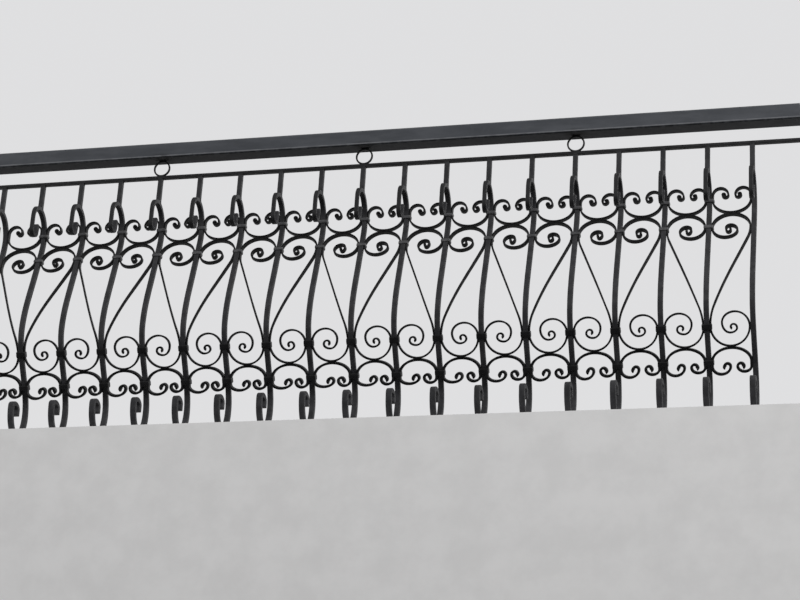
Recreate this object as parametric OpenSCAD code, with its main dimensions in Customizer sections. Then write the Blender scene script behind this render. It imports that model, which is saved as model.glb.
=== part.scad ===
// Iron balcony railing: bellied bars with crooked ends, scrollwork between the
// bars, collars, flat rails and a box handrail carried on rings.
// X runs along the rail, Y into the building, Z up. The origin is the middle
// of the underside of the bottom rail.

/* [Layout] */
// Distance between the centres of two bars
bar_pitch = 130; // [124:1:150]
// Length of rail that runs past each end bar
rail_overrun = 140; // [40:1:200]
// Size of the gap left between parts that seat on each other
seat_gap = 0.15; // [0.05:0.05:0.3]

/* [Rails] */
// Width of the bottom rail
bottom_rail_w = 40; // [24:1:60]
// Thickness of the bottom rail
bottom_rail_t = 12; // [8:1:20]
// Width of the top rail
top_rail_w = 14; // [10:1:40]
// Thickness of the top rail
top_rail_t = 10; // [6:1:20]
// Width of the handrail tube
handrail_w = 56; // [40:1:80]
// Height of the handrail tube
handrail_h = 50; // [30:1:70]
// Wall of the handrail tube
handrail_wall = 3; // [2:0.5:5]
// Outer corner radius of the handrail tube
handrail_r = 6; // [5.5:0.5:9]

/* [Rings] */
// Outer diameter of the rings under the handrail
ring_d = 54; // [36:1:70]
// Depth of the rings
ring_w = 6; // [4:1:20]
// Thickness of the rings
ring_t = 5; // [3:0.5:8]

/* [Bars] */
// Width of the square bar
bar_w = 14; // [10:1:16]
// Length of the stems between the crowns and the top rail
stem_h = 77; // [60:1:120]
// Width of the square stems
stem_w = 13; // [8:1:16]
// Height from the bottom rail to the middle of the foot crook
foot_rise = 84; // [70:1:100]
// Height of the belly over the middle of the foot crook
belly_rise = 250; // [220:1:280]
// Height of the neck over the belly
neck_rise = 330; // [300:1:380]
// Height of the crown crook over the neck
crown_rise = 81; // [60:1:90]
// How far the belly leans out from the foot
belly_reach = 103; // [60:1:120]
// How far the neck leans back over the belly
neck_reach = 75; // [40:1:100]
// How far the bars lag behind an even wave under the neck, as a share
neck_lag = 0.09; // [0:0.01:0.12]

/* [Crooks] */
// Half width of the foot crook
foot_half_w = 49.5; // [44:0.5:60]
// How far the crown crook comes forward from the neck to its top
crown_reach = 64; // [56:0.5:70]
// How far the crown crook comes forward from its top to its hook
crown_front = 34; // [30:0.5:44]
// Height over the neck where the front of the crown crook starts to bend
crown_front_side = 42; // [20:1:46]
// How far the stems stand behind the top of the crown crook
stem_back = 10; // [0:1:14]
// Half width of the hook at the end of the foot crook
foot_hook_half_w = 17.5; // [16:0.5:22]
// Height of the hook at the end of the foot crook
foot_hook_rise = 18; // [12:0.5:20]
// Length of the straight end of the foot hook
foot_hook_end = 13; // [2:1:20]
// Radius of the hook at the end of the crown crook
crown_hook_r = 13; // [11:0.5:15]
// Length of the straight end of the crown hook
crown_hook_end = 27; // [5:1:35]

/* [Scrolls] */
// Depth of the flat bar of the scrolls
strand_d = 15; // [8:1:18]
// Thickness of the flat bar of the scrolls
strand_t = 4; // [3:0.5:6]
// Gap between a bar and the strands beside it
strand_gap = 1; // [0.5:0.1:2]
// Gap where an S-scroll and a C-scroll touch
scroll_gap = 0.8; // [0.5:0.1:0.9]
// Depth of the upper volutes under the neck
upper_volute_drop = 79.5; // [70:0.5:90]
// Depth of the lower volutes under the belly
lower_volute_drop = 75; // [60:1:90]
// Bend where a strand leaves the upper volute
upper_bend_r = 100; // [60:5:140]
// Bend where a strand runs into the lower volute
lower_bend_r = 160; // [120:5:240]
// Depth of the bow of the upper C-scrolls
upper_bow_depth = 40; // [34:1:46]
// Straight side of the upper C-scrolls between bow and curl
upper_curl_side = 17; // [8:1:22]
// Radius of the curls of the upper C-scrolls
upper_curl_r = 22.5; // [18:0.5:24.5]
// Depth of the bow of the lower C-scrolls
lower_bow_depth = 41; // [36:0.5:48]
// Straight side of the lower C-scrolls between bow and curl
lower_curl_side = 12.5; // [2:0.5:16]
// Radius of the left curls of the lower C-scrolls
lower_left_curl_r = 24; // [17:0.5:25]
// Radius of the right curls of the lower C-scrolls
lower_right_curl_r = 20; // [17:0.5:25]
// Lean of the lower C-scrolls out from the foot, in degrees
lower_lean = 6; // [0:1:12]
// How far the lower C-scrolls lap under the S-scrolls
lower_lap = 2; // [1:0.5:4]
// Radius of the inner turn of the curls
curl_inner_r = 8.5; // [7:0.5:10]
// Radius of the eye of the curls
curl_eye_r = 3.5; // [3:0.5:5]

/* [Collars] */
// Wall of the collars
collar_wall = 1.5; // [1:0.5:4]
// Room left in a collar beside the strands, which curve away
collar_slack = 1.6; // [1.4:0.1:2]
// Room left in a collar in front of and behind the bar
collar_play = 1.1; // [0.9:0.1:1.6]
// Height of the collars at the crown
crown_collar_h = 10; // [8:1:14]
// Height of the collars at the upper volutes
neck_collar_h = 11; // [8:1:14]
// Height of the collars at the lower volutes
belly_collar_h = 18; // [10:1:18]
// Height of the collars at the foot
foot_collar_h = 16; // [10:1:18]

/* [Hidden] */
bars = 19;
ring_bars = [5, 10, 15];
middle_bar = (bars + 1) / 2;
rail_len = (bars - 1) * bar_pitch + 2 * rail_overrun;

// Heights of the main levels
foot_z = bottom_rail_t + foot_rise;
belly_z = foot_z + belly_rise;
neck_z = belly_z + neck_rise;
crown_z = neck_z + crown_rise + bar_w / 2;
top_rail_z = crown_z + stem_h;
ring_z = top_rail_z + top_rail_t;
handrail_z = ring_z + ring_d;

// Depths of the main points of a bar, with the foot crook centred on the rail
foot_y = foot_half_w;
belly_y = foot_y - belly_reach;
neck_y = belly_y + neck_reach;
crown_y = neck_y - crown_reach;
rail_y = crown_y + stem_back;

BLACK = [0.17, 0.17, 0.19];
SLATE = [0.26, 0.28, 0.30];

function bar_name(i) = str("baluster_", i < 10 ? "0" : "", i);

// Place of bar i, counted from 1 at the left, and of the bay to its right
function bar_x(i) = (i - middle_bar) * bar_pitch;
function bay_x(i) = bar_x(i) + bar_pitch / 2;

// Middle line of a bar: two half waves that meet at the belly, the upper one with
// its lag, and over the neck the back of the crown
function wave(share) = (1 - cos(180 * share)) / 2;
function upper_wave(share) = wave(share) - neck_lag * wave(2 * share * share);
function line_y(z) =
    z > neck_z ? crown_y + crown_reach * sqrt(1 - pow((z - neck_z) / crown_rise, 2)) :
    z > belly_z ? belly_y + neck_reach * upper_wave((z - belly_z) / neck_rise) :
    belly_y + belly_reach * wave((belly_z - z) / belly_rise);

// Lean of the middle line at a height, in degrees towards the building
function lean(z) = atan((line_y(z + 0.5) - line_y(z - 0.5)));

// Points on an arc or half ellipse, from angle a to angle b
function arc(centre, rx, ry, a, b, steps) =
    [for (k = [0:steps]) let (t = a + (b - a) * k / steps) centre + [rx * cos(t), ry * sin(t)]];

// The parts of a path joined, with points that coincide left out
function joined(parts) =
    let (all = [for (p = parts) each p])
    [for (k = [0:len(all) - 1]) if (k == 0 || norm(all[k] - all[k - 1]) > 0.01) all[k]];

// Unit vector across a path at point k
function across(path, k) =
    let (
        last = len(path) - 1,
        along = path[min(k + 1, last)] - path[max(k - 1, 0)]
    )
    [-along[1], along[0]] / norm(along);

// Outline of a strip of width w along a path
function strip(path, w) = concat(
    [for (k = [0:len(path) - 1]) path[k] + across(path, k) * w / 2],
    [for (k = [len(path) - 1:-1:0]) path[k] - across(path, k) * w / 2]
);

// Middle line of a whole bar as depth and height, from hook to hook
foot_hook_y = foot_hook_half_w - foot_half_w;
crown_hook_y = crown_y - crown_front + crown_hook_r;
bar_line = joined([
    [[crown_hook_y + crown_hook_r, neck_z + crown_hook_end]],
    arc([crown_hook_y, neck_z], crown_hook_r, crown_hook_r, 0, -180, 8),
    arc([crown_y, neck_z + crown_front_side], crown_front, crown_rise - crown_front_side,
        180, 90, 10),
    arc([crown_y, neck_z], crown_reach, crown_rise, 90, 0, 10),
    [for (k = [1:24]) let (z = neck_z - neck_rise * k / 24) [line_y(z), z]],
    [for (k = [1:20]) let (z = belly_z - belly_rise * k / 20) [line_y(z), z]],
    arc([0, foot_z], foot_half_w, foot_rise - bar_w / 2, 0, -180, 16),
    arc([foot_hook_y, foot_z], foot_hook_half_w, foot_hook_rise, 180, 0, 10),
    [[foot_hook_y + foot_hook_half_w, foot_z - foot_hook_end]]
]);

// Run down the middle line of a bar, measured from the neck, against height
run_steps = 120;
run_table = [
    for (
        k = 0, z = neck_z, run = 0;
        k <= run_steps;
        k = k + 1,
        run = run + norm([
            line_y(z - (neck_z - foot_z) / run_steps) - line_y(z),
            (neck_z - foot_z) / run_steps
        ]),
        z = neck_z - (neck_z - foot_z) * k / run_steps
    )
    [run, z]
];
height_table = [for (k = [run_steps:-1:0]) [run_table[k][1], run_table[k][0]]];
function height_at(run) = lookup(run, run_table);
function run_at(z) = lookup(z, height_table);

// Outermost points of the turns of a volute, from the side where the strand
// comes in to the eye, as shares of the outer turn. Sides and tops take turns.
outer_turn = (bar_pitch - bar_w - strand_t) / 2 - strand_gap;
upper_shares = [[-1, 0], [0, 0.895], [1, 0], [0.275, -0.67], [-0.36, -0.2],
    [0, 0.16], [0.245, -0.047], [0.105, -0.31], [-0.01, -0.16], [0.06, -0.09]];
lower_shares = [[1, 0], [0, -1.02], [-1, 0], [-0.28, 0.73], [0.36, 0.15],
    [-0.05, -0.37], [-0.4, -0.13], [-0.22, 0.07], [-0.08, -0.06], [-0.15, -0.15]];
upper_top = outer_turn * upper_shares[1][1];
lower_foot = -outer_turn * lower_shares[1][1];

// Levels of the scrolls
upper_run = run_at(neck_z - upper_volute_drop);
lower_run = run_at(belly_z - lower_volute_drop);
upper_z = height_at(upper_run);
lower_z = height_at(lower_run);

// The upper C-scrolls stand on the S-scrolls, clear of their leaning tops
top_z = height_at(upper_run - upper_top);
bow_z = top_z + strand_t + scroll_gap + sin(lean(top_z)) * strand_d / 2 + upper_bow_depth;

// The lower C-scrolls stand under the back edge of the S-scrolls, a lap in from it.
// The place of the lap, of the top of the bow and of the widest level, as depth
// and height, follow from each other.
turn_z = height_at(lower_run + lower_foot);
turn_lean = lean(turn_z);
lap_at = [line_y(turn_z), turn_z]
    + (strand_d / 2 - lower_lap) * [cos(turn_lean), -sin(turn_lean)]
    - strand_t / 2 * [sin(turn_lean), cos(turn_lean)];
c_deep = [cos(lower_lean), sin(lower_lean)];
c_up = [-sin(lower_lean), cos(lower_lean)];
bow_top = lap_at - [0, scroll_gap] + c_deep * strand_d / 2 - c_up * strand_t / 2;
arch = bow_top - c_up * lower_bow_depth;
arch_z = arch[1];

// Quarter of an ellipse from the side point of a turn to its top point, or back
function to_top(a, b, steps) = arc([b[0], a[1]], a[0] - b[0], b[1] - a[1], 0, 90, steps);
function to_side(a, b, steps) = arc([a[0], b[1]], b[0] - a[0], a[1] - b[1], 90, 0, steps);
function turn_steps(size) = size > 50 ? 6 : size > 20 ? 3 : 2;

// Line through the outermost points of a volute, quarter by quarter
function volute(shares) = joined([
    for (k = [0:len(shares) - 2])
        let (
            a = shares[k] * outer_turn,
            b = shares[k + 1] * outer_turn,
            steps = turn_steps(norm(b - a))
        )
        k % 2 == 0 ? to_top(a, b, steps) : to_side(a, b, steps)
]);
function reversed(list) = [for (k = [len(list) - 1:-1:0]) list[k]];
function raised(path, h) = [for (p = path) [p[0], p[1] + h]];
function between(a, b, steps) = [for (k = [1:steps - 1]) a + (b - a) * k / steps];

// S-scroll as distance across the bay and height over the lower volute:
// an upper volute, a straight strand between two bends, and a lower volute
strand_rise = lower_run - upper_run;
bend_rise = strand_rise - neck_collar_h / 2;
bend_sum = upper_bend_r + lower_bend_r;
bend_dx = 2 * outer_turn - bend_sum;
strand_angle = atan2(bend_dx, bend_rise) + asin(bend_sum / norm([bend_dx, bend_rise]));
upper_bend = arc([upper_bend_r - outer_turn, bend_rise], upper_bend_r, upper_bend_r,
    180, 180 + strand_angle, 2);
lower_bend = arc([outer_turn - lower_bend_r, 0], lower_bend_r, lower_bend_r, strand_angle, 0, 4);
s_path = joined([
    raised(reversed(volute(upper_shares)), strand_rise),
    upper_bend,
    between(upper_bend[len(upper_bend) - 1], lower_bend[0], 5),
    lower_bend,
    volute(lower_shares)
]);

// Chain of half circles about a level, each from the end of the one before
function half_turns(x, level, way, side, radii, k = 0) =
    k == len(radii) ? [] :
    concat(
        arc([x + way * radii[k], level], -way * radii[k], side * radii[k], 0, 180,
            3 + turn_steps(radii[k])),
        half_turns(x + 2 * way * radii[k], level, -way, -side, radii, k + 1)
    );

// C-scroll as distance across the bay and height over its widest level
function curl(side, r) = joined([
    [[outer_turn, 0]],
    half_turns(outer_turn, side, -1, 1, [r, curl_inner_r, curl_eye_r])
]);
function c_path(depth, side, left_r, right_r) = joined([
    reversed([for (p = curl(side, left_r)) [-p[0], p[1]]]),
    arc([0, 0], outer_turn, depth, 180, 360, 24),
    curl(side, right_r)
]);

// Closed rectangular tube shape with rounded corners
module rounded_box(w, h, r) {
    square([w, h - 2 * r], center = true);
    square([w - 2 * r, h], center = true);
    for (x = [-1, 1], y = [-1, 1])
        translate([x * (w / 2 - r), y * (h / 2 - r)])
            circle(r, $fn = 32);
}

// Turns a section drawn as depth and height into a length along X
module along_rail(length) {
    rotate([90, 0, 90])
        linear_extrude(length, center = true)
            children();
}

module flat_rail(w, t, y, z) {
    translate([0, y, z + t / 2])
        cube([rail_len, w, t], center = true);
}

module handrail() {
    color(SLATE)
        translate([0, rail_y, handrail_z + handrail_h / 2])
            along_rail(rail_len)
                difference() {
                    rounded_box(handrail_w, handrail_h, handrail_r);
                    rounded_box(handrail_w - 2 * handrail_wall, handrail_h - 2 * handrail_wall,
                        handrail_r - handrail_wall);
                }
}

module top_rail() {
    color(BLACK) flat_rail(top_rail_w, top_rail_t, rail_y, top_rail_z);
}

module bottom_rail() {
    color(BLACK) flat_rail(bottom_rail_w, bottom_rail_t, 0, 0);
}

// Ring of flat bar that stands on the top rail and carries the handrail
module ring(i) {
    color(BLACK)
        translate([bar_x(i), rail_y, ring_z + ring_d / 2])
            rotate([90, 0, 0])
                linear_extrude(ring_w, center = true)
                    difference() {
                        circle(d = ring_d - 2 * seat_gap, $fn = 48);
                        circle(d = ring_d - 2 * seat_gap - 2 * ring_t, $fn = 48);
                    }
}

// Square stems between the crowns and the top rail. The foot of a stem follows
// the top of the crown, which is the outer edge of its bar.
crown_edge = [
    for (k = [1:len(bar_line) - 2])
        if (bar_line[k][1] > neck_z + crown_rise / 2)
            let (p = bar_line[k] + across(bar_line, k) * bar_w / 2)
            [p[0], p[1]]
];
function on_crown(y) = [y, lookup(y, crown_edge) + 2 * seat_gap];
module stems() {
    front = rail_y - stem_w / 2;
    color(BLACK)
        for (i = [1:bars])
            translate([bar_x(i), 0, 0])
                along_rail(stem_w)
                    polygon(concat(
                        [[front, top_rail_z - seat_gap]],
                        [for (k = [0:8]) on_crown(front + stem_w * k / 8)],
                        [[front + stem_w, top_rail_z - seat_gap]]
                    ));
}

module baluster(i) {
    color(BLACK)
        translate([bar_x(i), 0, seat_gap])
            along_rail(bar_w)
                polygon(strip(bar_line, bar_w));
}

// Rings of four corners along a path that lies on the bellied face. A point of
// the path is carried down the face by its run, and the bar stands square to it.
function on_face(p) = let (z = height_at(lower_run - p[1])) [p[0], line_y(z), z];
function down_face(p) = let (a = lean(height_at(lower_run - p[1]))) [0, -sin(a), -cos(a)];
function face_corners(path, k) =
    let (
        c = on_face(path[k]),
        down = down_face(path[k]),
        side = across(path, k),
        edge = ([side[0], 0, 0] - side[1] * down) * strand_t / 2,
        deep = cross([1, 0, 0], down) * strand_d / 2
    )
    [c + edge + deep, c - edge + deep, c - edge - deep, c + edge - deep];

module s_scroll() {
    points = [for (k = [0:len(s_path) - 1]) each face_corners(s_path, k)];
    last = len(s_path) - 1;
    sides = [
        for (k = [0:last - 1], c = [0:3])
            let (a = 4 * k + c, b = 4 * k + (c + 1) % 4)
            each [[a, b, b + 4], [a, b + 4, a + 4]]
    ];
    caps = [[0, 3, 2], [0, 2, 1], [4 * last, 4 * last + 1, 4 * last + 2],
        [4 * last, 4 * last + 2, 4 * last + 3]];
    polyhedron(points, concat(sides, caps));
}

// S-scrolls in the bays from the first to the last named, turned about in every
// second bay so that their strands meet in pairs at the bars
module s_scrolls(first, last) {
    color(BLACK)
        for (i = [first:last])
            translate([bay_x(i), 0, 0])
                mirror([i % 2 == 0 ? 1 : 0, 0, 0])
                    s_scroll();
}

module c_scroll(path) {
    rotate([90, 0, 0])
        linear_extrude(strand_d, center = true)
            polygon(strip(path, strand_t));
}

// C-scrolls over the S-scrolls, which stand upright with their curls on top
module upper_c_scrolls(first, last) {
    color(BLACK)
        for (i = [first:last])
            translate([bay_x(i), line_y(bow_z), bow_z])
                c_scroll(c_path(upper_bow_depth, upper_curl_side, upper_curl_r, upper_curl_r));
}

// C-scrolls under the S-scrolls, which lean a little, curls down
module lower_c_scrolls(first, last) {
    color(BLACK)
        for (i = [first:last])
            translate([bay_x(i), arch[0], arch[1]])
                rotate([lower_lean, 0, 0])
                    rotate([0, 180, 0])
                        c_scroll(c_path(lower_bow_depth, lower_curl_side,
                            lower_right_curl_r, lower_left_curl_r));
}

// Collar that holds a bar and the strands on both sides of it, open from its front
// room to its back room either way from the bar's middle line
even_room = strand_d / 2 + collar_play;
module collar(h, front) {
    room_w = bar_w + 2 * (strand_gap + strand_t + collar_slack);
    room_d = front + even_room;
    translate([0, (even_room - front) / 2, 0])
        difference() {
            cube([room_w + 2 * collar_wall, room_d + 2 * collar_wall, h], center = true);
            cube([room_w, room_d, h + 2], center = true);
        }
}

module collars(z, h, front = even_room) {
    color(BLACK)
        for (i = [2:bars - 1])
            translate([bar_x(i), line_y(z), z])
                rotate([-lean(z), 0, 0])
                    collar(h, front);
}

// Front room of the foot collars, whose strands stand forward of the bars and lean
// less than they do
foot_turn = lower_lean + lean(arch_z);
foot_step = line_y(arch_z) - arch[0];
foot_front = foot_step * cos(lean(arch_z)) + strand_d / 2 / cos(foot_turn) + collar_play
    - (foot_collar_h / 2 - foot_step * sin(lean(arch_z))) * tan(foot_turn);

handrail();
top_rail();
bottom_rail();
ring(ring_bars[0]);  // ring_left
ring(ring_bars[1]);  // ring_middle
ring(ring_bars[2]);  // ring_right
stems();
for (i = [1:bars]) baluster(i);
upper_c_scrolls(1, middle_bar - 1);  // upper_c_scrolls_left
upper_c_scrolls(middle_bar, bars - 1);  // upper_c_scrolls_right
s_scrolls(1, middle_bar - 1);  // s_scrolls_left
s_scrolls(middle_bar, bars - 1);  // s_scrolls_right
lower_c_scrolls(1, middle_bar - 1);  // lower_c_scrolls_left
lower_c_scrolls(middle_bar, bars - 1);  // lower_c_scrolls_right
collars(bow_z, crown_collar_h);  // crown_collars
collars(upper_z, neck_collar_h);  // neck_collars
collars(lower_z, belly_collar_h);  // belly_collars
collars(arch_z, foot_collar_h, foot_front);  // foot_collars
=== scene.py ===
"""Iron balcony railing: forged bars, scrollwork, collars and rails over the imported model."""

import bpy
import numpy as np
from mathutils import Matrix


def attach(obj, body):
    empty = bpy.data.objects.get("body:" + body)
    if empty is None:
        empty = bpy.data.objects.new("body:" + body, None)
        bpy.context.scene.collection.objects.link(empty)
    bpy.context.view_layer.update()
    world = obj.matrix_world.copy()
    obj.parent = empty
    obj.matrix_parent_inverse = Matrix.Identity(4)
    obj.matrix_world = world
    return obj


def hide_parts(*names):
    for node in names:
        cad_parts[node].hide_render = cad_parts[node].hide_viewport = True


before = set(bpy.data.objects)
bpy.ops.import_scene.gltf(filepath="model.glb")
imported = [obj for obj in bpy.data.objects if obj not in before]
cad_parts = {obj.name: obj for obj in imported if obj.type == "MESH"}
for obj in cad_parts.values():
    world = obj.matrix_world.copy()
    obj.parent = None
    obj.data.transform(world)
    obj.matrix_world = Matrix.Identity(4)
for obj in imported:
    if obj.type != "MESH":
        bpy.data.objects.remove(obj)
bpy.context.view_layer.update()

MM = 0.001

# Sizes of the railing in millimetres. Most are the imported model's. Painted widths,
# crooks, curls and collars follow the real railing more finely, and stay in its box.
BARS = 19
PITCH = 130.0
RAIL_LEN = 2620.0
RING_BARS = (5, 10, 15)
BAR_W, STEM_W = 14.0, 13.0
STRAND_D, STRAND_T = 15.0, 4.0
# Widths with coats of paint and hammered edges: bars, stems, strands, lower strands
PAINTED_BAR, PAINTED_STEM, PAINTED_T, PAINTED_LOWER_T = 15.2, 14.4, 5.4, 7.2
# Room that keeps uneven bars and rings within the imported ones: a length, and a share
SEAT, HAMMER_ROOM = 0.15, 0.015

# Rails, rings and handrail: undersides, then thickness or height, then width
RAIL_Y = -32.5
BOTTOM_RAIL_T, BOTTOM_RAIL_W = 12.0, 40.0
TOP_RAIL_Z, TOP_RAIL_T, TOP_RAIL_W = 841.0, 10.0, 14.0
RING_Z, RING_D, RING_T, RING_W = 851.0, 54.0, 5.0, 6.0
HANDRAIL_Z, HANDRAIL_H, HANDRAIL_W = 905.0, 50.0, 56.0
HANDRAIL_WALL, HANDRAIL_R = 3.0, 6.0

# A bar's middle line: heights and depths of its foot, belly and neck, and the share by
# which the wave over the belly lags
FOOT_Z, BELLY_Z, NECK_Z = 96.0, 346.0, 676.0
FOOT_Y, BELLY_Y, NECK_Y = 49.5, -53.5, 21.5
NECK_LAG = 0.09
# The crown crook: the depth of its top, its reach behind and before that, and its rise
# over the neck, with a straight side in front. Its hook: radius, end and drop.
CROWN_Y, CROWN_REACH, CROWN_FRONT, CROWN_RISE = -42.5, 64.0, 36.2, 81.0
CROWN_SIDE, CROWN_SIDE_STEP = 42.0, 4.6
CROWN_HOOK_R, CROWN_HOOK_END, CROWN_HOOK_DROP = 16.0, 25.0, 1.0
# The foot crook: its front before the bottom rail's middle, and its fall below the
# foot's level. Its hook: half its width, its rise and its end.
FOOT_FRONT, FOOT_FALL = 56.0, 77.0
FOOT_HOOK_HALF, FOOT_HOOK_RISE, FOOT_HOOK_END = 19.5, 12.2, 18.0
# Shares of a bar's width and depth at runs from the crown hook's end
CROWN_RUNS = (0, 50, 80, 125, 178)
CROWN_WIDTHS, CROWN_DEPTHS = (1.12, 0.92, 0.80, 0.80, 1), (0.95, 0.78, 0.66, 0.66, 1)
# The same at runs from the foot hook's end, which count backwards
FOOT_RUNS, FOOT_WIDTHS = (-370, -250, -60, 0), (1, 1.10, 1.12, 1.22)
FOOT_DEPTH_RUNS, FOOT_DEPTHS = (-60, -20), (1, 1.08)

# Scrolls: half the width between their sides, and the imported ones' gap where they touch
OUTER = (PITCH - BAR_W - STRAND_T) / 2 - 1.0
TOUCH_GAP = 0.8
# S-scrolls: how far their volutes' levels lie under the neck and the belly, the turns'
# outermost points in shares of the half width, and the radii of the bends
UPPER_LEVEL, LOWER_LEVEL = 79.5, 75.0
UPPER_SHARES = [(-1, 0), (0, 0.895), (1, 0), (0.29, -0.69), (-0.33, -0.235),
                (0.03, 0.125), (0.275, -0.082), (0.135, -0.345), (0.02, -0.195), (0.09, -0.125)]
LOWER_SHARES = [(1, 0), (0, -1.02), (-1, 0), (-0.25, 0.745), (0.405, 0.185),
                (-0.005, -0.335), (-0.355, -0.095), (-0.175, 0.105), (-0.035, -0.025),
                (-0.105, -0.115)]
UPPER_BEND_R, LOWER_BEND_R = 100.0, 160.0
# Shares of an S-scroll's depth at levels over its lower volute's
NARROW_LEVELS, NARROW_DEPTHS = (-40, 150, 300, 345), (0.56, 0.6, 0.8, 0.95)
# C-scrolls: depth of the bow, straight side, and radii of a curl's three half turns
UPPER_BOW, UPPER_SIDE, UPPER_CURL = 40.0, 17.0, 22.5
LOWER_BOW, LOWER_SIDE, LOWER_LEFT_CURL, LOWER_RIGHT_CURL = 38.5, 11.0, 25.0, 19.0
CURL_INNER, CURL_EYE = 8.5, 3.5
# Degrees of the last half turn: a closed eye above, an open hook with a thick tip below
UPPER_EYE_TURN, LOWER_EYE_TURN, LOWER_TIP = 180.0, 75.0, 1.2
# How much wider and flatter a lower curl is, and what this gains or loses by the bay
LOWER_WIDE, LOWER_FLAT = 0.6, 3.5
LOWER_LEFT_MORE, LOWER_LEFT_RAISED, LOWER_RIGHT_LESS = 4.0, 5.0, 1.2
# The lower C-scrolls' lean, and how far they stand back from the S-scrolls
LOWER_LEAN, LOWER_BACK = np.radians(18.0), 5.0
# Collars: width, room before the lower strands and behind the bars, and heights
COLLAR_W, COLLAR_ROOM, COLLAR_BACK = 28.6, 8.6, 9.2
CROWN_COLLAR_H, NECK_COLLAR_H, BELLY_COLLAR_H, FOOT_COLLAR_H = 10.0, 11.0, 18.0, 16.0

# First seeds of the unevenness of each kind of piece
BAR_SEED, BAR_DEPTH_SEED, STEM_SEED, S_SEED = 100, 300, 500, 700
UPPER_SEED, LOWER_SEED, COLLAR_SEED, BELLY_DROP_SEED, FOOT_DROP_SEED = 900, 1100, 1300, 1500, 1600


def bar_x(i):
    """Place along X of the bar with that number, counted from the left."""
    return (i - (BARS + 1) / 2) * PITCH


def wave(share):
    """A half wave from 0 to 1: (1 - cos(180 share)) / 2."""
    return (1 - np.cos(np.pi * share)) / 2


def line_y(z):
    """Depth of a bar's middle line: a half wave from the foot to the belly, a lagging
    half wave from the belly to the neck, and the back of the crown's ellipse above."""
    z = np.asarray(z, float)
    low = BELLY_Y + (FOOT_Y - BELLY_Y) * wave((BELLY_Z - z) / (BELLY_Z - FOOT_Z))
    s = (z - BELLY_Z) / (NECK_Z - BELLY_Z)
    high = BELLY_Y + (NECK_Y - BELLY_Y) * (wave(s) - NECK_LAG * wave(2 * s * s))
    rise = np.clip((z - NECK_Z) / CROWN_RISE, 0, 1)
    crown = CROWN_Y + CROWN_REACH * np.sqrt(1 - rise ** 2)
    return np.where(z > NECK_Z, crown, np.where(z > BELLY_Z, high, low))


def lean(z):
    """Angle of the middle line from the vertical, from its slope over one millimetre."""
    return np.arctan(line_y(np.asarray(z) + 0.5) - line_y(np.asarray(z) - 0.5))


# Run down the middle line from the neck, against height
FACE_Z = np.linspace(NECK_Z, FOOT_Z, 800)
FACE_RUN = np.concatenate([[0], np.cumsum(np.hypot(np.diff(FACE_Z), np.diff(line_y(FACE_Z))))])


def height_at(run):
    """Height at a run down the face."""
    return np.interp(run, FACE_RUN, FACE_Z)


def run_at(z):
    """Run down the face to a height."""
    return np.interp(z, FACE_Z[::-1], FACE_RUN[::-1])


# Places of the volutes, and of the C-scrolls that stand on the S-scrolls' tops
UPPER_RUN = run_at(NECK_Z - UPPER_LEVEL)
LOWER_RUN = run_at(BELLY_Z - LOWER_LEVEL)
UPPER_Z = float(height_at(UPPER_RUN))
LOWER_Z = float(height_at(LOWER_RUN))
TOP_Z = float(height_at(UPPER_RUN - OUTER * UPPER_SHARES[1][1]))
BOW_Z = TOP_Z + STRAND_T + TOUCH_GAP + np.sin(float(lean(TOP_Z))) * STRAND_D / 2 + UPPER_BOW


def lower_places():
    """Depth and height of the lap under an S-scroll's foot, and of the widest level of
    the C-scroll under it: down the face by half of both thicknesses, back by
    LOWER_BACK, and then down the C-scroll's own lean by the depth of its bow."""
    z = float(height_at(LOWER_RUN - OUTER * LOWER_SHARES[1][1]))
    a = float(lean(z))
    foot = np.array([float(line_y(z)), z])
    deep, up = np.array([np.cos(a), -np.sin(a)]), np.array([np.sin(a), np.cos(a)])
    lap = foot + deep * LOWER_BACK / 2 - up * PAINTED_T / 2
    top = foot + deep * LOWER_BACK - up * (PAINTED_T + PAINTED_LOWER_T) / 2
    return lap, top - np.array([-np.sin(LOWER_LEAN), np.cos(LOWER_LEAN)]) * LOWER_BOW


LAP, ARCH = lower_places()
ARCH_Z = float(ARCH[1])


def arc(cx, cy, rx, ry, start, end, count):
    """Points centre + (rx cos t, ry sin t) for t from start to end in degrees."""
    t = np.radians(np.linspace(start, end, count + 1))
    return np.stack([cx + rx * np.cos(t), cy + ry * np.sin(t)], 1)


def joined(parts):
    """The parts of a flat path in one array, without points that coincide."""
    path = np.concatenate([np.reshape(p, (-1, 2)) for p in parts])
    step = np.hypot(*np.diff(path, axis=0).T)
    return path[np.concatenate([[True], step > 0.01])]


def unit(v):
    """A vector, or each row of vectors, divided by its length."""
    return v / np.linalg.norm(v, axis=-1, keepdims=True)


def run_along(path):
    """Run of each point of a path: the sum of the steps from its first point."""
    return np.concatenate([[0], np.cumsum(np.linalg.norm(np.diff(path, axis=0), axis=1))])


def tangents(path):
    """Unit directions along a path, from each point's two neighbours."""
    return unit(np.gradient(path, axis=0))


def ripple(run, seed, reach, length):
    """Slow unevenness along a run: three sines of random phase, reach in all."""
    rng = np.random.default_rng(seed)
    total = np.zeros_like(run)
    for share, scale in ((0.5, 1.0), (0.3, 0.53), (0.2, 0.27)):
        total += share * np.sin(2 * np.pi * (run / (length * scale) + rng.random()))
    return reach * total


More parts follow.
